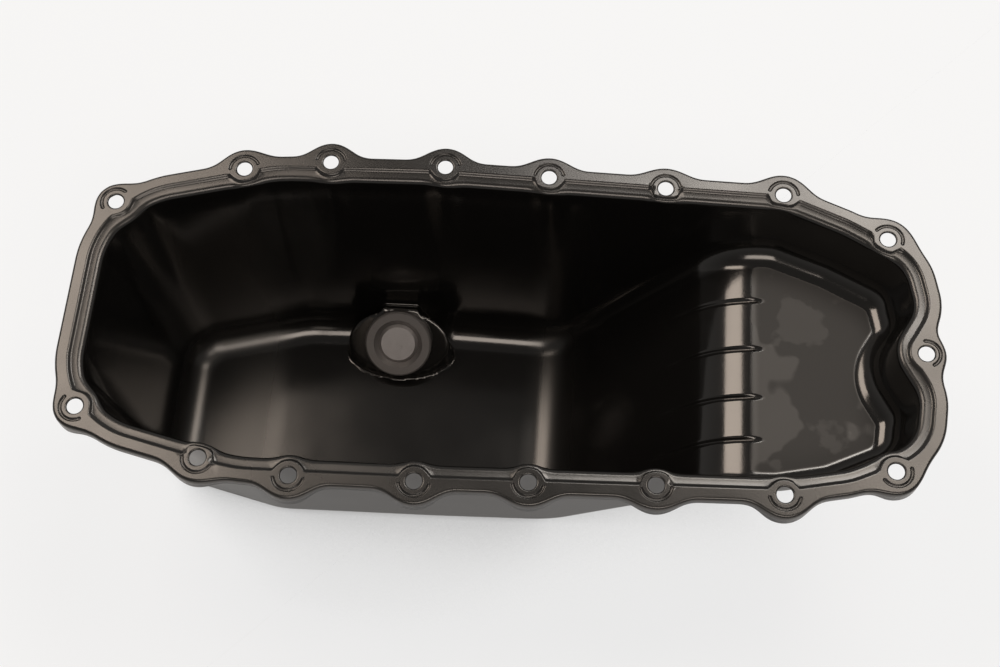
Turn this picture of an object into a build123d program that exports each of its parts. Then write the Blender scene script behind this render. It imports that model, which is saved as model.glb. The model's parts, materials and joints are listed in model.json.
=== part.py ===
from build123d import *
import os
from math import atan2, cos, degrees, radians, sin, tan

# Engine oil pan, pressed from one steel sheet, with its welded drain boss, drain plug and washer.
# Millimetres. +X runs from the deep sump to the shallow end, +Y across the pan, +Z up.
# The origin is below the middle of the flange, on the plane that the sump's underside rests on.

# Sheet and heights
sheet = 1.5
sump_depth = 125.0            # inside, from the flange's top face to the sump's floor
shallow_depth = 32.0          # inside, at the shallow end
flange_top = sump_depth + sheet
shelf_drop = 1.2              # the inner shelf lies this much below the flange's top face
shelf_top = flange_top - shelf_drop
lip_depth = 5.0               # the down-turned rim of the flange
lip_edge = 1.4                # its bevel
floor_edge = 11.0             # inside rounding between floor and wall

# Outline of the mouth: corners (x, y, rounding), along the far side and back along the near side
mouth_corners = [
    (-181.8, 33.2, 34), (-163.5, 51.0, 34), (-108.0, 66.0, 60), (-40.0, 68.4, 200),
    (124.0, 65.6, 25), (150.0, 55.2, 30), (177.4, 40.5, 18),
    (181.6, 19.5, 16), (170.0, -1.0, 18), (181.8, -22.0, 16),
    (179.4, -43.5, 18), (150.0, -57.4, 30), (126.0, -62.4, 25),
    (-30.0, -67.6, 200), (-108.0, -69.2, 60), (-163.5, -56.2, 34), (-181.8, -39.0, 34),
]
wall_draft = 7.3              # degrees
step_width = 6.3              # from the mouth out to the step in the flange
flange_width = 12.0           # from the mouth out to the flange's edge

# Bolt holes: each column (x, far y, near y) runs across the pan, one hole closes the shallow end
bolt_columns = [
    (-180.4, 48.8, -51.9), (-124.0, 69.8, -71.6), (-84.6, 76.0, -76.8), (-31.6, 76.8, -75.7),
    (16.4, 74.5, -72.9), (69.9, 72.2, -70.5), (123.5, 72.3, -71.0), (170.1, 52.5, -57.6),
]
end_bolt = (185.0, -2.6)
bolt_hole = 7.0               # clearance for a 6 mm bolt
lobe_radius = 10.4            # the flange's edge stands this far out round a bolt
corner_lobe_radius = 9.2      # round the two bolts of the first column
end_lobe_radius = 8.8
lobe_blend = 24.0             # hollow curve from the lobe back to the flange's edge
seat_radius = 6.3             # the step line stays this far from a bolt
seat_blend = 5.0
flute_bulge = 2.0             # the wall bulges in this far at the mouth, clear of the bolt's head
flute_depth = 65.0            # where the bulge runs out
groove_radius = 6.9           # crescent groove on the outer side of each hole
groove_width = 1.8
groove_depth = 0.6
groove_sweep = 156.0          # degrees

# Side profile
ramp_foot = 25.6              # where floor and ramp would meet
ramp_head = 101.6             # where ramp and shallow floor would meet
ramp_foot_bend = 20.0
ramp_head_bend = 22.0

# Darts pressed across the bend at the head of the ramp
dart_places = [35.0, 10.5, -13.5, -34.0]
dart_down = 30.0              # along the ramp, from the bend's corner
dart_along = 10.0             # along the shallow floor
dart_flank = 21.0             # half the opening of the dart's V, degrees
dart_height = 9.0             # of the V, well past the bend's surface

# Drain facet: a pad pushed inwards across the corner of floor and far wall
pad_tilt = 39.0               # degrees from level
pad_centre = (-56.9, 35.9, 16.5)
pad_size = 35.0
pad_corner = 9.0
pad_flare = 35.0              # degrees
pad_reach = 30.0

# Drain boss, plug and washer
plug_thread = 20.2            # outside of the plug's thread
thread_clearance = 0.1
boss_diameter = 34.0
boss_height = 5.0
boss_edge = 0.8
boss_lead_in = 25.0
boss_spigot = 26.0
spigot_clearance = 0.1
plug_tip = 17.4
plug_tip_recess = 0.8
plug_head = 28.0
plug_head_height = 3.5
plug_head_edge = 0.8
hex_across = 12.0
hex_depth = 6.0
washer_outer = 27.0
washer_clearance = 0.3
washer_thickness = 1.5

bolts = [(x, y) for x, far, near in bolt_columns for y in (far, near)] + [end_bolt]
lobe_radii = [corner_lobe_radius] * 2 + [lobe_radius] * (len(bolts) - 3) + [end_lobe_radius]
reach = 300.0                 # beyond the pan, for cutting shapes


def mouth_face():
    points = [(x, y) for x, y, rounding in mouth_corners]
    return make_face(FilletPolyline(*points, radius=[r for x, y, r in mouth_corners], close=True))


def from_mouth(x, y):
    """The way from the nearest point of the mouth out to a bolt."""
    gap, on_mouth, on_bolt = mouth_face().wire().distance_to_with_closest_points(Vertex(x, y, 0))
    return on_bolt - on_mouth


def discs(radii):
    return [Pos(x, y) * Circle(radius) for (x, y), radius in zip(bolts, radii)]


def flange_outline(shrink=0.0):
    """The flange's edge: an even margin round the mouth, with a lobe round each bolt."""
    margin = offset(mouth_face(), amount=flange_width) + discs(lobe_radii)
    return offset(offset(margin, amount=lobe_blend), amount=-lobe_blend - shrink)


def step_outline(grow=0.0):
    """The step line: an even margin round the mouth that bends inwards past each bolt."""
    margin = offset(mouth_face(), amount=step_width) - discs([seat_radius] * len(bolts))
    return offset(offset(margin, amount=-seat_blend), amount=seat_blend + grow)


def column(face, low, high):
    return extrude(Pos(0, 0, low) * face, amount=high - low)


def flute(x, y, grow):
    """The cone round a bolt's axis that keeps the wall clear of the bolt's head."""
    radius = from_mouth(x, y).length + flute_bulge
    lean = tan(radians(wall_draft)) - flute_bulge / flute_depth
    base = radius + shelf_top * lean
    return Pos(x, y, shelf_top / 2) * Cone(base - grow, radius - grow, shelf_top)


def dart(y, grow):
    """A V-shaped groove whose root is a straight chord across the bend."""
    ramp = Vector(ramp_foot - ramp_head, 0, shallow_depth - sump_depth).normalized()
    corner = Vector(ramp_head, y, flange_top - shallow_depth)
    start = corner + ramp * dart_down
    end = corner + Vector(dart_along, 0, 0)
    wide = dart_height * tan(radians(dart_flank))
    vee = make_face(Polyline((0, 0), (wide, dart_height), (-wide, dart_height), close=True))
    section = offset(vee, amount=grow, kind=Kind.INTERSECTION) if grow else vee
    across = Plane(origin=start, x_dir=(0, 1, 0), z_dir=end - start)
    return extrude(across * section, amount=(end - start).length)


def is_floor(face):
    return abs(face.normal_at().Y) < 0.001 and face.normal_at().Z < -0.3


def floor_edges(hollow):
    """The edges where floor, ramp and shallow floor meet the walls."""
    walls = hollow.faces().filter_by(is_floor, reverse=True)
    wall_edges = [edge for face in walls for edge in face.edges()]
    return [edge for face in hollow.faces().filter_by(is_floor) for edge in face.edges() if edge in wall_edges]


def basin(grow):
    """The space inside the walls. Grown by the sheet it is the outside of the walls."""
    rim = offset(mouth_face(), amount=grow) if grow else mouth_face()
    prism = extrude(Pos(0, 0, shelf_top) * rim, amount=-shelf_top)
    walls = [face for face in prism.faces() if abs(face.normal_at().Z) < 0.01]
    prism = draft(walls, Plane(origin=(0, 0, shelf_top), z_dir=(0, 0, 1)), -wall_draft)
    shelf = flange_top - shallow_depth
    side = make_face(FilletPolyline(
        (-reach, reach), (-reach, sheet), (ramp_foot, sheet), (ramp_head, shelf), (reach, shelf), (reach, reach),
        radius=[0, 0, ramp_foot_bend, ramp_head_bend, 0, 0], close=True,
    ))
    if grow:
        side = offset(side, amount=grow, kind=Kind.INTERSECTION)
    hollow = prism & extrude(Plane.XZ * side, amount=reach, both=True)
    hollow = fillet(floor_edges(hollow), floor_edge + grow)
    hollow += [dart(y, grow) for y in dart_places]
    hollow -= [flute(x, y, grow) for x, y in bolts if (x, y) != end_bolt]
    return hollow - pad(grow)


def pad_plane(height=0.0):
    """The drain facet's inner face, or a plane above it along the drain's axis."""
    tilt = radians(pad_tilt)
    upward = Vector(0, -sin(tilt), cos(tilt))
    return Plane(origin=Vector(pad_centre) + upward * height, x_dir=(1, 0, 0), z_dir=upward)


def pad(grow):
    flare = radians(pad_flare)
    side = pad_size - 2 * grow * (1 / cos(flare) - tan(flare))
    corner = pad_corner - (pad_size - side) / 2
    top = pad_plane(-grow)
    block = extrude(top * RectangleRounded(side, side, corner), amount=-pad_reach)
    flanks = [face for face in block.faces() if abs(face.normal_at().dot(top.z_dir)) < 0.01]
    return draft(flanks, top, pad_flare)


def bolt_groove(x, y):
    """The crescent groove on the side of the hole that faces the flange's edge."""
    outward = from_mouth(x, y)
    middle = degrees(atan2(outward.Y, outward.X))
    start, inner = middle - groove_sweep / 2, groove_radius - groove_width / 2
    outer = inner + groove_width
    arcs = CenterArc((x, y), inner, start, groove_sweep), CenterArc((x, y), outer, start, groove_sweep)
    ends = Line(arcs[0] @ 0, arcs[1] @ 0), Line(arcs[0] @ 1, arcs[1] @ 1)
    return column(make_face([*arcs, *ends]), flange_top - groove_depth, flange_top + 1)


def flange():
    """The flat rim with its down-turned lip and the lower shelf inside the step."""
    lip_foot = flange_top - lip_depth
    rim = column(flange_outline(), lip_foot, flange_top)
    rim = chamfer(rim.edges().group_by(Axis.Z)[-1], lip_edge)
    under = column(flange_outline(sheet), lip_foot, flange_top - sheet)
    shelf = column(step_outline(sheet), shelf_top - sheet, flange_top - sheet / 2)
    recess = column(step_outline(), shelf_top, flange_top + 1)
    return rim - under + shelf - recess


def pan_shell():
    shell = flange() + basin(sheet) - basin(0.0)
    holes = [Pos(x, y, flange_top) * Cylinder(bolt_hole / 2, 6 * sheet) for x, y in bolts]
    drain = pad_plane() * Cylinder(boss_spigot / 2 + spigot_clearance, 6 * sheet)
    grooves = [bolt_groove(x, y) for x, y in bolts]
    return shell - holes - drain - grooves


def drain_boss():
    """The welded nut ring: a ring on the pad's inner face and a spigot through the sheet."""
    ring = Cylinder(boss_diameter / 2, boss_height, align=seated)
    ring = chamfer(ring.edges().group_by(Axis.Z)[-1], boss_edge)
    spigot = Cylinder(boss_spigot / 2, sheet, align=hung)
    bore = plug_thread / 2 + thread_clearance
    lead = (boss_lead_in / 2 - bore)
    mouth = Pos(0, 0, boss_height) * Cone(bore, bore + lead, lead, align=hung)
    boss = ring + spigot - Cylinder(bore, 4 * boss_height) - mouth
    return pad_plane() * boss


def drain_plug():
    """The screw plug: threaded shank with a chamfered tip, flanged head and hexagon socket."""
    under_head = -sheet - washer_thickness
    tip = boss_height - plug_tip_recess
    shank = Pos(0, 0, under_head) * Cylinder(plug_thread / 2, tip - under_head, align=seated)
    shank = chamfer(shank.edges().group_by(Axis.Z)[-1], (plug_thread - plug_tip) / 2)
    head = Pos(0, 0, under_head) * Cylinder(plug_head / 2, plug_head_height, align=hung)
    head = chamfer(head.edges().group_by(Axis.Z)[0], plug_head_edge)
    foot = under_head - plug_head_height
    socket = extrude(Pos(0, 0, foot) * RegularPolygon(hex_across / 2, 6, major_radius=False), amount=hex_depth)
    return pad_plane() * (shank + head - socket)


def plug_washer():
    ring = Circle(washer_outer / 2) - Circle(plug_thread / 2 + washer_clearance)
    return pad_plane(-sheet) * extrude(ring, amount=-washer_thickness)


def export(shape, name):
    solid = shape.solid()
    solid.label = name
    export_step(solid, f"parts/{name}.step")


seated = (Align.CENTER, Align.CENTER, Align.MIN)
hung = (Align.CENTER, Align.CENTER, Align.MAX)

os.makedirs("parts", exist_ok=True)
export(pan_shell(), "pan_shell")
export(drain_boss(), "drain_boss")
export(drain_plug(), "drain_plug")
export(plug_washer(), "plug_washer")
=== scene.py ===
import json
import math
import bmesh
import bpy
import numpy as np
from mathutils import Matrix, Vector, geometry


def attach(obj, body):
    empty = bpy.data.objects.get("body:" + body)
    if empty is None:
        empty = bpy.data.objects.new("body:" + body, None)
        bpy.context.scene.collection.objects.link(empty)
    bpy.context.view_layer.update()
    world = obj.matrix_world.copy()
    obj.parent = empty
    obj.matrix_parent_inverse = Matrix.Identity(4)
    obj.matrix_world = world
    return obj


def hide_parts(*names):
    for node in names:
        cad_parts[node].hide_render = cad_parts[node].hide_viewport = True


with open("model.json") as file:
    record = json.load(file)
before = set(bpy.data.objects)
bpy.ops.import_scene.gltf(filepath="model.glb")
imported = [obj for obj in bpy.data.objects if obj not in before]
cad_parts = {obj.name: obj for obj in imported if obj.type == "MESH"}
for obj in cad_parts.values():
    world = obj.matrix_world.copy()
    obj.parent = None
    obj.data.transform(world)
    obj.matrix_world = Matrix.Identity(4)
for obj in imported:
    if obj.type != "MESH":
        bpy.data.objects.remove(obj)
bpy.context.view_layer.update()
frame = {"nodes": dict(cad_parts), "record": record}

nodes = frame["nodes"]
print("frame loaded:", ", ".join(sorted(nodes)))


# outlines, in millimetres, clockwise seen from above: corners (x, y, rounding) of the mouth
notchCorner = (170.0, -1.0, 18)
mouthCorners = [
    (-181.8, 33.2, 34), (-163.5, 51.0, 34), (-108.0, 66.0, 60), (-40.0, 68.4, 200),
    (124.0, 65.6, 25), (150.0, 55.2, 30), (177.4, 40.5, 18),
    (181.6, 19.5, 16), notchCorner, (181.8, -22.0, 16),
    (179.4, -43.5, 18), (150.0, -57.4, 30), (126.0, -62.4, 25),
    (-30.0, -67.6, 200), (-108.0, -69.2, 60), (-163.5, -56.2, 34), (-181.8, -39.0, 34),
]


def unit(vector):
    return vector / np.linalg.norm(vector, axis=-1, keepdims=True)


def outward(loop):
    along = unit(np.roll(loop, -1, 0) - np.roll(loop, 1, 0))
    return np.stack((-along[:, 1], along[:, 0]), 1)


def evenLoop(trail, spacing):
    trail = np.concatenate([trail, trail[:1]])
    run = np.concatenate([[0], np.cumsum(np.linalg.norm(np.diff(trail, axis=0), axis=1))])
    count = int(run[-1] / spacing)
    at = np.arange(count) * run[-1] / count
    return np.stack([np.interp(at, run, trail[:, k]) for k in (0, 1)], 1)


# corners as an open trail, with an arc of close points at each corner that has a rounding
arcStep = 0.3


def roundedTrail(corners):
    trail = []
    for i, (x, y, rounding) in enumerate(corners):
        here = np.array((x, y))
        if rounding == 0:
            trail.append(here[None])
            continue
        back = unit(np.array(corners[i - 1][:2]) - here)
        ahead = unit(np.array(corners[(i + 1) % len(corners)][:2]) - here)
        half = math.acos(back @ ahead) / 2
        centre = here + unit(back + ahead) * rounding / math.sin(half)
        spokes = [here + way * rounding / math.tan(half) - centre for way in (back, ahead)]
        begin, end = (math.atan2(spoke[1], spoke[0]) for spoke in spokes)
        turn = (end - begin + math.pi) % (2 * math.pi) - math.pi
        angles = begin + turn * np.linspace(0, 1, 2 + int(abs(turn) * rounding / arcStep))
        trail.append(centre + rounding * np.stack((np.cos(angles), np.sin(angles)), 1))
    return np.concatenate(trail)


def roundedLoop(corners, spacing):
    return evenLoop(roundedTrail(corners), spacing)


def smoothLess(a, b, blend):
    return np.minimum(a, b) - np.maximum(blend - np.abs(a - b), 0) ** 2 / (4 * blend)


def smoothMore(a, b, blend):
    return -smoothLess(-a, -b, blend)


def fade(value, start, end):
    t = np.clip((value - start) / (end - start), 0, 1)
    return t * t * (3 - 2 * t)


# the bolts, from the record's mounts, each with its lobe and the bulge of the wall beside it
bolts = {
    "lobe": 10.2, "cornerLobe": 9.2, "endLobe": 8.7,
    "farBulge": (1.6, 0.8, 1.1, 1.1, 1.1, 1.0, 0.2, 0.7),
    "nearBulge": (1.6, 1.3, 1.7, 1.7, 1.8, 1.8, 0.6, 0.7),
}


def boltPlaces():
    places = []
    columns = [m for m in frame["record"]["mounts"] if m["kind"] == "bolt_pattern"]
    for i, mount in enumerate(columns):
        x, y = 1000 * mount["pos_m"][0], 1000 * mount["pos_m"][1]
        half = mount["dims"]["spacing_y_mm"] / 2
        lobe = bolts["cornerLobe"] if i == 0 else bolts["lobe"]
        places.append((np.array((x, y + half)), lobe, bolts["farBulge"][i]))
        places.append((np.array((x, y - half)), lobe, bolts["nearBulge"][i]))
    end = next(m for m in frame["record"]["mounts"] if m["name"] == "bolt_end")
    places.append((np.array(end["pos_m"][:2]) * 1000, bolts["endLobe"], 0.0))
    return places


# pressed sheet: heights above the ground plane and distances outward from the mouth
press = {
    "top": 126.5, "sheet": 1.5, "drop": 1.2, "draft": math.radians(7.3), "columns": 0.86, "rimColumns": 1.6,
    "stepOut": 6.7, "stepRun": 2.0, "stepFlat": 0.3, "seat": 6.3, "stepBlend": 3.0,
    "leastStep": 2.4, "leastBlend": 1.0, "mouthRound": 3.0, "mouthRows": 7,
    "edgeOut": 12.0, "lobeBlend": 9.0, "lobeReach": (0.5, 6.0), "rimSearch": (4.0, 26.0), "rimTurns": 18,
    "lipRound": 1.3, "lipRows": 7, "lipDepth": 4.5, "lobeLip": 3.0,
    "bulgeHalf": 11.0, "bulgeEnd": 66.0, "cornerBulgeEnd": 95.0,
    "wallRows": 14, "wallPace": 1.7, "footRows": 22, "tight": 0.3,
    "floor": 1.5, "bend": 90.6, "shallow": 94.5, "foot": 25.6, "head": 100.0, "end": 168.0, "beyond": 300.0,
    "footBend": 24.0, "headBend": 40.0, "sumpRound": 15.0, "shallowRound": 11.5, "roundChange": (30, 105),
}
pad = {
    "x": -56.9, "y": 35.9, "z": 16.5, "tilt": math.radians(39), "halfWide": 26.0, "halfHigh": 17.6,
    "side": 12.0, "crown": -1.1, "crownHalf": 9.0, "crownSide": 2.8, "crownFoot": 3, "edge": 1.6, "base": 4.0,
    "cell": 0.85, "rings": 2.5, "margin": 8,
}
darts = {
    "places": (35.0, 10.5, -13.5, -34.0), "bottom": 66.0, "rise": 6, "fall": 9, "top": 121.0,
    "deep": 1.35, "half": 1.45, "root": 0.2, "taper": 1.5,
}
crescent = {
    "radius": 6.6, "half": 0.85, "sweep": math.radians(156), "depth": 0.6, "room": 2.75,
    "points": 17, "capPoints": 6,
    # share of the half width, depth below the flange
    "profile": ((1.2, 0.0), (1.0, 0.0), (0.82, 0.14), (0.6, 0.38), (0.35, 0.54)),
}
hole = {
    "points": 26,
    # radius, depth below the flange
    "profile": ((4.4, 0.0), (4.2, 0.0), (3.9, 0.08), (3.65, 0.28), (3.5, 0.6)),
}
# spacing of the floor's points, closer over the two bends, the pad and the darts
cells = {
    "plain": 3.6, "bend": 1.3, "footBend": (14, 33), "headBend": (93, 113.5),
    "pad": 0.9, "padHalf": 36, "padFrom": 12,
    "dartAlong": 1.6, "dartAcross": 0.4, "dartFrom": 64, "dartHalf": 2.0,
    "room": (1, 0.8), "edgeGap": 0.9,
}
floorLine = roundedTrail([
    (-press["beyond"], press["floor"], 0),
    (press["foot"], press["floor"], press["footBend"]),
    (press["head"], press["bend"], press["headBend"]),
    (press["end"], press["shallow"], 0),
    (press["beyond"], press["shallow"], 0),
])


def floorHeight(x):
    return np.interp(x, floorLine[:, 0], floorLine[:, 1])


def shapeFloor(points):
    x, y, z = points.T
    # darts: narrow grooves over the bend at the head of the ramp, fading out down it
    rising = fade(x, darts["bottom"], press["head"] - darts["rise"])
    falling = fade(x, press["head"] + darts["fall"], darts["top"])
    deep = darts["deep"] * rising * (1 - falling)
    for place in darts["places"]:
        aside = np.hypot(y - place, darts["root"]) - darts["root"]
        z = z - deep * np.maximum(1 - aside / darts["half"], 0) ** darts["taper"]
    # drain pad: flat eye-shaped facet with steep flanks, across the corner of floor and far wall
    across, along = x - pad["x"], (y - pad["y"]) / math.cos(pad["tilt"])
    wide, high, edge = pad["halfWide"], pad["halfHigh"], pad["edge"]
    slant = np.stack((across / wide ** 2, along / high ** 2))
    steepness = np.hypot(*slant) + 1e-9
    off = ((across / wide) ** 2 + (along / high) ** 2 - 1) / (2 * steepness)
    # points near its edge are drawn onto rings round it, so that the edge stays clean
    shift = (np.round(off / pad["cell"]) * pad["cell"] - off) * (np.abs(off) < pad["rings"] * pad["cell"])
    across, along = (across, along) + shift * slant / steepness
    off = off + shift
    x, ahead = pad["x"] + across, along * math.cos(pad["tilt"])
    y = pad["y"] + ahead
    facet = pad["z"] + math.tan(pad["tilt"]) * ahead
    drop = edge - np.sqrt(edge ** 2 - np.clip(off + edge, 0, edge) ** 2) + pad["side"] * np.maximum(off, 0)
    reach = high * math.cos(pad["tilt"])
    crown = pad["z"] + high * math.sin(pad["tilt"]) + pad["crown"] * (ahead - reach)
    crown = crown - pad["crownSide"] * np.maximum(np.abs(across) - pad["crownHalf"], 0)
    crown = crown - pad["crownFoot"] * np.maximum(reach / 2 - ahead, 0)
    block = smoothLess(facet, smoothMore(facet - drop, crown, edge), edge)
    z = smoothMore(z, block, pad["base"])
    return np.stack((x, y, z), 1)


# a surface gathered from rows of points
class Skin:
    def __init__(self):
        self.points, self.faces = [], []

    def add(self, places):
        first = len(self.points)
        self.points.extend(map(tuple, places))
        return np.arange(first, len(self.points))

    def join(self, rowA, rowB):
        for a, b, c, d in zip(rowA, np.roll(rowA, -1), np.roll(rowB, -1), rowB):
            corners = list(dict.fromkeys((int(a), int(b), int(c), int(d))))
            if len(corners) > 2:
                self.faces.append(corners)

    def joinAll(self, rows):
        for rowA, rowB in zip(rows, rows[1:]):
            self.join(rowA, rowB)

    # flat or gently curved area between loops of points that are already there
    def fill(self, outer, holes, loose=()):
        loops = [outer, *holes]
        chosen = np.concatenate([*loops, np.array(loose, int)])
        flat = [Vector(self.points[i][:2]) for i in chosen]
        edges, first = [], 0
        for loop in loops:
            count = len(loop)
            edges += [(first + k, first + (k + 1) % count) for k in range(count)]
            first += count
        _, _, triangles, origins, _, _ = geometry.delaunay_2d_cdt(flat, edges, [], 1, 1e-5)
        ids = np.array([chosen[origin[0]] if origin else -1 for origin in origins])
        triangles = ids[np.array(triangles)]
        spots = np.array(self.points)[:, :2]
        middles = spots[triangles].mean(1)
        keep = inside(middles, spots[outer]) & (triangles >= 0).all(1)
        for hole in holes:
            keep &= ~inside(middles, spots[hole])
        self.faces += triangles[keep].tolist()


def inside(spots, loop):
    ends = np.roll(loop, -1, 0)
    within = np.zeros(len(spots), bool)
    for (x0, y0), (x1, y1) in zip(loop, ends):
        if y0 != y1:
            cross = (spots[:, 1] > min(y0, y1)) & (spots[:, 1] <= max(y0, y1))
            within ^= cross & (spots[:, 0] < x0 + (spots[:, 1] - y0) * (x1 - x0) / (y1 - y0))
    return within


def level(loop, height):
    return np.column_stack((loop, np.broadcast_to(height, len(loop))))


# from the step in the flange down the wall to the floor
def pressWall(skin, places):
    mouth = roundedLoop(mouthCorners, press["columns"])
    atPad = (np.abs(mouth[:, 0] - pad["x"]) < pad["halfWide"] + pad["margin"]) & (mouth[:, 1] > 0)
    mouth = mouth[atPad | (np.arange(len(mouth)) % 2 == 0)]
    out = outward(mouth)
    count = len(mouth)
    bulge, bulgeEnd = np.zeros(count), np.full(count, press["bulgeEnd"])
    step = np.full(count, press["stepOut"])
    pace = np.linalg.norm(np.roll(mouth, -1, 0) - mouth, axis=1)
    girth, run = pace.sum(), np.cumsum(pace) - pace
    for place, lobe, amount in places:
        nearest = int(np.argmin(np.hypot(*(mouth - place).T)))
        along = (run - run[nearest] + girth / 2) % girth - girth / 2
        bump = amount * (1 - fade(np.abs(along), 0, press["bulgeHalf"]))
        bulge = np.maximum(bulge, bump)
        if lobe == bolts["cornerLobe"]:
            bulgeEnd = np.where(np.abs(along) < 2 * press["bulgeHalf"], press["cornerBulgeEnd"], bulgeEnd)
        ahead = np.sum((place - mouth) * out, 1)
        aside = np.abs((place - mouth)[:, 0] * out[:, 1] - (place - mouth)[:, 1] * out[:, 0])
        seat = ahead - np.sqrt(np.maximum(press["seat"] ** 2 - aside ** 2, 0))
        seat = np.where((aside < press["seat"]) & (ahead > 0), seat, press["beyond"])
        step = smoothLess(step, seat, press["stepBlend"])
    step = smoothMore(step, press["leastStep"] - bulge, press["leastBlend"])
    tangent = math.tan((math.pi / 2 - press["draft"]) / 2)
    room = press["stepRun"] + press["stepFlat"] + press["mouthRound"] * tangent
    scale = np.minimum(1, (step + bulge) / room)
    stride, rolling = press["stepRun"] * scale, press["mouthRound"] * scale
    top, shelf = press["top"], press["top"] - press["drop"]

    def row(distance, height):
        return skin.add(shapeFloor(level(mouth + out * distance[:, None], height)))

    rows = [row(step + press["tight"], top), row(step, top)]
    for t in (0.2, 0.4, 0.6, 0.8, 1.0):
        rows.append(row(step - stride * t, top - press["drop"] * fade(t, 0, 1)))
    for angle in np.linspace(0, math.pi / 2 - press["draft"], press["mouthRows"]):
        reach = rolling * (tangent - math.sin(angle)) - bulge
        rows.append(row(reach, shelf - rolling * (1 - math.cos(angle))))
    # wall and the rounding at its foot
    slope = math.tan(press["draft"])

    def wallOut(height):
        return -(shelf - height) * slope - bulge * (1 - fade(top - height, 0, bulgeEnd))

    foot = mouth[:, 0].copy()
    for turn in range(3):
        change = fade(foot, *press["roundChange"])
        rounding = press["sumpRound"] + (press["shallowRound"] - press["sumpRound"]) * change
        centre = floorHeight(foot) + rounding
        centreOut = -(shelf - centre) * slope - rounding / math.cos(press["draft"])
        foot = mouth[:, 0] + out[:, 0] * centreOut
    wallTop = shelf - rolling * (1 - math.sin(press["draft"]))
    wallFoot = centre - rounding * math.sin(press["draft"])
    bulgeEnd = np.minimum(bulgeEnd, top - wallFoot)
    for j in range(1, press["wallRows"] + 1):
        t = 1 - (1 - j / press["wallRows"]) ** press["wallPace"]
        height = wallTop + (wallFoot - wallTop) * t
        rows.append(row(wallOut(height), height))
    for angle in np.linspace(press["draft"], math.pi / 2, press["footRows"])[1:]:
        rows.append(row(centreOut + rounding * math.cos(angle), centre - rounding * math.sin(angle)))
    skin.joinAll(rows)
    return rows[0], rows[-1]


def steps(low, high, spacing):
    return np.linspace(low, high, max(2, int((high - low) / spacing) + 1))


def pressFloor(skin, edge):
    loop = np.array(skin.points)[edge][:, :2]
    (left, near), (right, far) = loop.min(0), loop.max(0)
    spots = []
    (footLow, footHigh), (headLow, headHigh) = cells["footBend"], cells["headBend"]
    padLow, padHigh = pad["x"] - cells["padHalf"], pad["x"] + cells["padHalf"]
    patches = [
        ((left, near), (right, far), cells["plain"], cells["plain"]),
        ((footLow, near), (footHigh, far), cells["bend"], cells["plain"]),
        ((headLow, near), (headHigh, far), cells["bend"], cells["plain"]),
        ((padLow, cells["padFrom"]), (padHigh, far), cells["pad"], cells["pad"]),
    ]
    for place in darts["places"]:
        begin = (cells["dartFrom"], place - cells["dartHalf"])
        finish = (darts["top"], place + cells["dartHalf"])
        patches.append((begin, finish, cells["dartAlong"], cells["dartAcross"]))
    roomX, roomY = cells["room"]
    for number, ((x0, y0), (x1, y1), stepX, stepY) in enumerate(patches):
        grid = np.stack(np.meshgrid(steps(x0, x1, stepX), steps(y0, y1, stepY)), -1).reshape(-1, 2)
        for (u0, v0), (u1, v1), _, _ in patches[number + 1:]:
            x, y = grid.T
            covered = (x > u0 - roomX) & (x < u1 + roomX) & (y > v0 - roomY) & (y < v1 + roomY)
            grid = grid[~covered]
        spots.append(grid)
    spots = np.concatenate(spots)
    spots = spots[inside(spots, loop)]
    gap = np.array([np.min(np.hypot(*(loop - spot).T)) for spot in spots])
    spots = spots[gap > cells["edgeGap"]]
    loose = skin.add(shapeFloor(level(spots, floorHeight(spots[:, 0]))))
    skin.fill(edge, [], loose)


def distanceTo(spots, loop):
    return np.min(np.hypot(spots[:, None, 0] - loop[:, 0], spots[:, None, 1] - loop[:, 1]), 1)


# the rim: outline with a lobe round each bolt, rolled over into a lip
def pressRim(skin, places):
    mouth = roundedLoop(mouthCorners, 1.0)
    hull = roundedLoop([corner for corner in mouthCorners if corner != notchCorner], press["rimColumns"])
    out = outward(hull)

    def beyond(spots):
        gap = distanceTo(spots, mouth) - press["edgeOut"]
        for place, lobe, _ in places:
            gap = smoothLess(gap, np.hypot(*(spots - place).T) - lobe, press["lobeBlend"])
        return gap

    low, high = (np.full(len(hull), limit) for limit in press["rimSearch"])
    for turn in range(press["rimTurns"]):
        middle = (low + high) / 2
        far = beyond(hull + out * middle[:, None]) > 0
        low, high = np.where(far, low, middle), np.where(far, middle, high)
    outline = evenLoop(hull + out * low[:, None], press["rimColumns"])
    out = outward(outline)
    rolling, top = press["lipRound"], press["top"]
    extra = distanceTo(outline, mouth) - press["edgeOut"]
    depth = press["lipDepth"] + press["lobeLip"] * fade(extra, *press["lobeReach"])
    rows = [skin.add(level(outline - out * (rolling + press["tight"]), top))]
    for angle in np.linspace(0, math.pi / 2, press["lipRows"]):
        inset = rolling * (1 - math.sin(angle))
        rows.append(skin.add(level(outline - out * inset, top - rolling * (1 - math.cos(angle)))))
    for part in (0.3, 1.0):
        rows.append(skin.add(level(outline, top - rolling - (depth - rolling) * part)))
    skin.joinAll(rows)
    return rows[0]


def ring(place, radius, height):
    angles = np.arange(hole["points"]) * 2 * math.pi / hole["points"]
    return level(place + radius * np.stack((np.cos(angles), np.sin(angles)), 1), height)


def pressHole(skin, place):
    rows = [skin.add(ring(place, radius, press["top"] - down)) for radius, down in hole["profile"]]
    skin.joinAll(rows)
    return rows[0]


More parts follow.
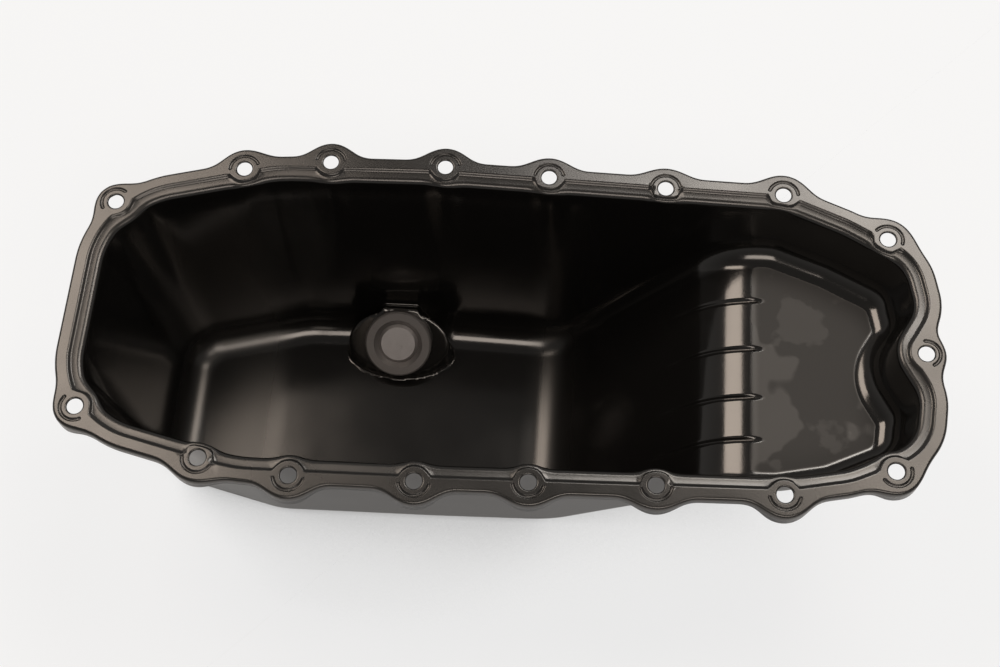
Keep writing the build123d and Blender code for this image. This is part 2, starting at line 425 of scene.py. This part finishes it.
def pressCrescent(skin, place, outwards, radius):
    half, sweep = crescent["half"], crescent["sweep"]
    middle = math.atan2(outwards[1], outwards[0])
    arc = middle + np.linspace(-sweep / 2, sweep / 2, crescent["points"])
    caps = np.linspace(0, math.pi, crescent["capPoints"])[1:-1]

    def spot(angle, distance):
        return place + distance * np.array((math.cos(angle), math.sin(angle)))

    def cap(angle, turned, wide):
        around = [angle + turned + c for c in caps]
        return [spot(angle, radius) + wide * np.array((math.cos(a), math.sin(a))) for a in around]

    rows = []
    for width, down in crescent["profile"]:
        wide = half * width
        loop = [spot(a, radius + wide) for a in arc] + cap(arc[-1], 0, wide)
        loop += [spot(a, radius - wide) for a in arc[::-1]] + cap(arc[0], math.pi, wide)
        rows.append(skin.add(level(np.array(loop), press["top"] - down)))
    root = skin.add(level(np.array([spot(a, radius) for a in arc]), press["top"] - crescent["depth"]))
    ends = len(caps)
    rows.append(np.concatenate([root, np.repeat(root[-1], ends), root[::-1], np.repeat(root[0], ends)]))
    skin.joinAll(rows)
    return rows[0]


def pressPan():
    places = boltPlaces()
    skin = Skin()
    stepEdge, floorEdge = pressWall(skin, places)
    pressFloor(skin, floorEdge)
    lipEdge = pressRim(skin, places)
    mouth = roundedLoop(mouthCorners, 1.0)
    cuts = [stepEdge]
    for place, lobe, _ in places:
        cuts.append(pressHole(skin, place))
        nearest = mouth[np.argmin(np.hypot(*(mouth - place).T))]
        radius = min(crescent["radius"], lobe - crescent["room"])
        cuts.append(pressCrescent(skin, place, place - nearest, radius))
    skin.fill(lipEdge, cuts)
    mesh = bpy.data.meshes.new("panSheet")
    mesh.from_pydata([tuple(0.001 * v for v in p) for p in skin.points], [], skin.faces)
    work = bmesh.new()
    work.from_mesh(mesh)
    bmesh.ops.recalc_face_normals(work, faces=work.faces)
    lowest = min(work.faces, key=lambda face: face.calc_center_median().z)
    if lowest.normal.z < 0:
        bmesh.ops.reverse_faces(work, faces=work.faces)
    work.to_mesh(mesh)
    work.free()
    mesh.validate()
    for polygon in mesh.polygons:
        polygon.use_smooth = True
    piece = bpy.data.objects.new("panSheet", mesh)
    bpy.context.scene.collection.objects.link(piece)
    thick = piece.modifiers.new("thickness", "SOLIDIFY")
    thick.thickness, thick.offset = 0.001 * press["sheet"], -1
    return piece


sheetPiece = pressPan()
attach(sheetPiece, "pan")
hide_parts("pan_shell")
print("sheet pressed:", len(sheetPiece.data.polygons), "faces")


# small helpers for shader nodes
def newMaterial(name):
    material = bpy.data.materials.new(name)
    material.use_nodes = True
    tree = material.node_tree
    shader = tree.nodes["Principled BSDF"]
    return material, tree, shader


def addNode(tree, kind, **values):
    node = tree.nodes.new(kind)
    for key, value in values.items():
        if key in node.inputs:
            node.inputs[key].default_value = value
        else:
            setattr(node, key, value)
    return node


def noise(tree, place, scale, detail=3.0, roughness=0.5):
    texture = addNode(tree, "ShaderNodeTexNoise", Scale=scale, Detail=detail, Roughness=roughness)
    tree.links.new(place, texture.inputs["Vector"])
    return texture.outputs["Fac"]


def remap(tree, value, low, high, toLow, toHigh):
    ramp = addNode(tree, "ShaderNodeMapRange", clamp=True)
    for key, number in (("From Min", low), ("From Max", high), ("To Min", toLow), ("To Max", toHigh)):
        ramp.inputs[key].default_value = number
    tree.links.new(value, ramp.inputs["Value"])
    return ramp.outputs["Result"]


def bump(tree, height, strength, distance):
    node = addNode(tree, "ShaderNodeBump", Strength=strength, Distance=distance)
    tree.links.new(height, node.inputs["Height"])
    return node.outputs["Normal"]


# black dipped coat on the pressed shell
coat = {
    "colour": (0.0065, 0.006, 0.0055, 1), "filmColour": (0.017, 0.0165, 0.016, 1),
    "specular": 0.95, "tint": (1.0, 0.94, 0.88, 1),
    "gloss": (0.11, 0.17), "rimGloss": (0.22, 0.30),    # roughness runs between these
    "rimFrom": 0.1235, "rimBlend": 0.001,
    "endGloss": 0.30, "endsAt": ((-0.112, -0.124), (0.008, 0.020)), "endTop": 0.020,
    "film": 0.78,                                       # roughness of the dull film on the shallow floor
    "filmStart": 0.106, "filmBlend": 0.012, "filmTop": (0.105, 0.110), "filmLevel": (0.988, 0.9965),
    # noise scale, detail and roughness, the edge of the patches in it, how much film they keep
    "filmPatches": ((24, 3, 0.4, 0.44, 0.455, 0.7), (41, 4, 0.5, 0.40, 0.43, 0.8)),
    "cloudScale": 28, "cloudDetail": 5, "cloudRange": (0.3, 0.7),
    "peelScale": 900, "peelDetail": 2, "peel": 0.05, "peelHeight": 0.0002,
}


def makeBlackCoat():
    material, tree, shader = newMaterial("blackCoat")
    place = addNode(tree, "ShaderNodeTexCoord").outputs["Object"]
    shader.inputs["Specular IOR Level"].default_value = coat["specular"]
    shader.inputs["Specular Tint"].default_value = coat["tint"]
    spot = addNode(tree, "ShaderNodeSeparateXYZ")
    tree.links.new(place, spot.inputs["Vector"])
    facing = addNode(tree, "ShaderNodeSeparateXYZ")
    tree.links.new(addNode(tree, "ShaderNodeNewGeometry").outputs["Normal"], facing.inputs["Vector"])

    def times(a, b):
        node = addNode(tree, "ShaderNodeMath", operation="MULTIPLY")
        tree.links.new(a, node.inputs[0])
        tree.links.new(b, node.inputs[1])
        return node.outputs["Value"]

    def blend(kind, factor, low, high):
        node = addNode(tree, "ShaderNodeMix", data_type=kind)
        tree.links.new(factor, node.inputs["Factor"])
        first, last = (6, 7) if kind == "RGBA" else (2, 3)
        for socket, value in ((node.inputs[first], low), (node.inputs[last], high)):
            if isinstance(value, bpy.types.NodeSocket):
                tree.links.new(value, socket)
            else:
                socket.default_value = value
        return node.outputs[2 if kind == "RGBA" else 0]

    # film dried on the flat of the shallow floor, with thinner patches
    film = remap(tree, spot.outputs["X"], coat["filmStart"], coat["filmStart"] + coat["filmBlend"], 0, 1)
    film = times(film, remap(tree, spot.outputs["Z"], *coat["filmTop"], 1, 0))
    film = times(film, remap(tree, facing.outputs["Z"], *coat["filmLevel"], 0, 1))
    for scale, detail, roughness, start, end, kept in coat["filmPatches"]:
        film = times(film, remap(tree, noise(tree, place, scale, detail, roughness), start, end, kept, 1))
    tree.links.new(blend("RGBA", film, coat["colour"], coat["filmColour"]), shader.inputs["Base Color"])
    cloud = noise(tree, place, coat["cloudScale"], coat["cloudDetail"])
    inner, outer = (remap(tree, cloud, *coat["cloudRange"], *coat[key]) for key in ("gloss", "rimGloss"))
    # the sump floor's two ends are drawn duller
    low = remap(tree, spot.outputs["Z"], coat["endTop"] / 2, coat["endTop"], 1, 0)
    for start, end in coat["endsAt"]:
        levels = (0, 1) if start < end else (1, 0)
        beyondStart = remap(tree, spot.outputs["X"], min(start, end), max(start, end), *levels)
        inner = blend("FLOAT", times(low, beyondStart), inner, coat["endGloss"])
    rim = remap(tree, spot.outputs["Z"], coat["rimFrom"], coat["rimFrom"] + coat["rimBlend"], 0, 1)
    rough = blend("FLOAT", film, blend("FLOAT", rim, inner, outer), coat["film"])
    tree.links.new(rough, shader.inputs["Roughness"])
    peel = noise(tree, place, coat["peelScale"], coat["peelDetail"])
    tree.links.new(bump(tree, peel, coat["peel"], coat["peelHeight"]), shader.inputs["Normal"])
    return material


# turned pieces: boss, plug and washer, with a fine grain
steel = {
    "boss": (0.16, 0.145, 0.135, 1), "plug": (0.42, 0.39, 0.375, 1), "washer": (0.6, 0.6, 0.6, 1),
    "grainScale": 700, "grainDetail": 3, "grainRange": (0.3, 0.7), "grain": 0.08, "grainHeight": 0.0002,
    "smoother": 0.8, "rougher": 1.25,
}


def makeTurned(name, colour, metallic, roughness):
    material, tree, shader = newMaterial(name)
    place = addNode(tree, "ShaderNodeTexCoord").outputs["Object"]
    shader.inputs["Base Color"].default_value = colour
    shader.inputs["Metallic"].default_value = metallic
    grain = noise(tree, place, steel["grainScale"], steel["grainDetail"])
    span = (roughness * steel["smoother"], roughness * steel["rougher"])
    tree.links.new(remap(tree, grain, *steel["grainRange"], *span), shader.inputs["Roughness"])
    tree.links.new(bump(tree, grain, steel["grain"], steel["grainHeight"]), shader.inputs["Normal"])
    return material


finishes = {
    "pan_shell": makeBlackCoat(),
    "drain_boss": makeTurned("bossCoat", steel["boss"], metallic=0.5, roughness=0.45),
    "drain_plug": makeTurned("plugSteel", steel["plug"], metallic=0.9, roughness=0.42),
    "plug_washer": makeTurned("washerMetal", steel["washer"], metallic=1.0, roughness=0.4),
}
for name, material in finishes.items():
    nodes[name].data.materials.clear()
    nodes[name].data.materials.append(material)
sheetPiece.data.materials.append(finishes["pan_shell"])
print("finishes on", len(finishes), "pieces")

# camera where the photograph was taken
photo = {
    "place": (0.02628, -0.27910, 0.73207),
    "right": (0.99730, 0.07254, -0.01117),
    "up": (-0.06146, 0.90862, 0.41308),
    "lens": 54.72, "sensor": 36.0, "near": 0.01, "far": 50,
}


def makeCamera():
    data = bpy.data.cameras.new("camera")
    camera = bpy.data.objects.new("camera", data)
    bpy.context.scene.collection.objects.link(camera)
    right, up = Vector(photo["right"]), Vector(photo["up"])
    turn = Matrix((right, up, right.cross(up))).transposed()
    camera.matrix_world = Matrix.Translation(photo["place"]) @ turn.to_4x4()
    data.lens, data.sensor_width = photo["lens"], photo["sensor"]
    data.clip_start, data.clip_end = photo["near"], photo["far"]
    bpy.context.scene.camera = camera


makeCamera()

# pale ground and soft boxes overhead: left, far right, right and front
studio = {
    "ground": 60.0, "groundColour": (0.82, 0.82, 0.82, 1), "groundRough": 0.9,
    "shadowShare": 0.25, "mirrorShare": 0.2,
    # painted contact shadow: reach, samples and levels of the ambient occlusion that darkens the floor's
    # white glow near the pan
    "paintedContactShadow": 0.12, "paintedShadowSamples": 8, "paintedShadowLevels": (0.1, 0.6, 0.05, 1),
    "skyHigh": 0.12, "skyLow": 0.32, "skyTop": 0.75,
    "boxes": {
        "leftBox": {
            "place": (-0.90, 0.68, 1.6), "turn": 6, "size": (0.86, 0.9),
            "glow": 5.0, "tint": (1.0, 0.9, 0.81),
        },
        "rightBackBox": {
            "place": (0.42, 1.02, 1.6), "turn": 12, "size": (0.80, 0.36),
            "glow": 8.0, "tint": (1.0, 0.99, 0.97),
        },
        "rightBox": {
            "place": (0.71, 0.62, 1.6), "turn": 32, "size": (0.64, 0.72),
            "glow": 4.8, "tint": (1.0, 0.92, 0.84),
        },
        "frontBox": {
            "place": (0.3, -0.95, 1.6), "turn": 0, "size": (1.3, 0.6),
            "glow": 4.0, "tint": (1.0, 0.93, 0.87),
        },
    },
}


# paper white to the eye, less so in reflections, with part of its shading left for the shadow; the white glow
# itself is painted darker near the pan by ambient occlusion, a painted contact shadow
def makeGround():
    size = studio["ground"] / 2
    mesh = bpy.data.meshes.new("ground")
    corners = [(-size, -size, 0), (size, -size, 0), (size, size, 0), (-size, size, 0)]
    mesh.from_pydata(corners, [], [(0, 1, 2, 3)])
    ground = bpy.data.objects.new("ground", mesh)
    bpy.context.scene.collection.objects.link(ground)
    material, tree, shader = newMaterial("groundPaper")
    shader.inputs["Base Color"].default_value = studio["groundColour"]
    shader.inputs["Roughness"].default_value = studio["groundRough"]
    white = addNode(tree, "ShaderNodeEmission", Color=(1, 1, 1, 1))
    # painted contact shadow: ambient occlusion dims the floor's white glow under and beside the pan, in view
    # and in reflections
    samples = studio["paintedShadowSamples"]
    paintedContactShadow = addNode(tree, "ShaderNodeAmbientOcclusion", Distance=studio["paintedContactShadow"], samples=samples)
    strength = remap(tree, paintedContactShadow.outputs["AO"], *studio["paintedShadowLevels"])
    tree.links.new(strength, white.inputs["Strength"])
    path = addNode(tree, "ShaderNodeLightPath")
    mirrored = addNode(tree, "ShaderNodeMath", operation="MULTIPLY")
    mirrored.inputs[1].default_value = studio["mirrorShare"]
    tree.links.new(path.outputs["Is Glossy Ray"], mirrored.inputs[0])
    seen = addNode(tree, "ShaderNodeMath", operation="MAXIMUM")
    tree.links.new(path.outputs["Is Camera Ray"], seen.inputs[0])
    tree.links.new(mirrored.outputs["Value"], seen.inputs[1])
    share = addNode(tree, "ShaderNodeMath", operation="MULTIPLY")
    share.inputs[1].default_value = 1 - studio["shadowShare"]
    tree.links.new(seen.outputs["Value"], share.inputs[0])
    blend = addNode(tree, "ShaderNodeMixShader")
    tree.links.new(share.outputs["Value"], blend.inputs["Fac"])
    tree.links.new(shader.outputs["BSDF"], blend.inputs[1])
    tree.links.new(white.outputs["Emission"], blend.inputs[2])
    tree.links.new(blend.outputs["Shader"], tree.nodes["Material Output"].inputs["Surface"])
    mesh.materials.append(material)


def makeLights():
    for name, box in studio["boxes"].items():
        data = bpy.data.lights.new(name, "AREA")
        data.shape = "RECTANGLE"
        data.size, data.size_y = box["size"]
        data.energy = box["glow"] * math.pi * data.size * data.size_y
        data.color = box["tint"]
        lamp = bpy.data.objects.new(name, data)
        bpy.context.scene.collection.objects.link(lamp)
        lamp.location = box["place"]
        lamp.rotation_euler = (0, 0, math.radians(box["turn"]))
    world = bpy.data.worlds.new("sky")
    world.use_nodes = True
    tree = world.node_tree
    place = addNode(tree, "ShaderNodeTexCoord").outputs["Generated"]
    height = addNode(tree, "ShaderNodeSeparateXYZ")
    tree.links.new(place, height.inputs["Vector"])
    strength = remap(tree, height.outputs["Z"], 0.0, studio["skyTop"], studio["skyLow"], studio["skyHigh"])
    tree.links.new(strength, tree.nodes["Background"].inputs["Strength"])
    tree.nodes["Background"].inputs["Color"].default_value = (1, 1, 1, 1)
    bpy.context.scene.world = world


makeGround()
makeLights()
bpy.context.scene.view_settings.view_transform = "Standard"
print("studio ready")
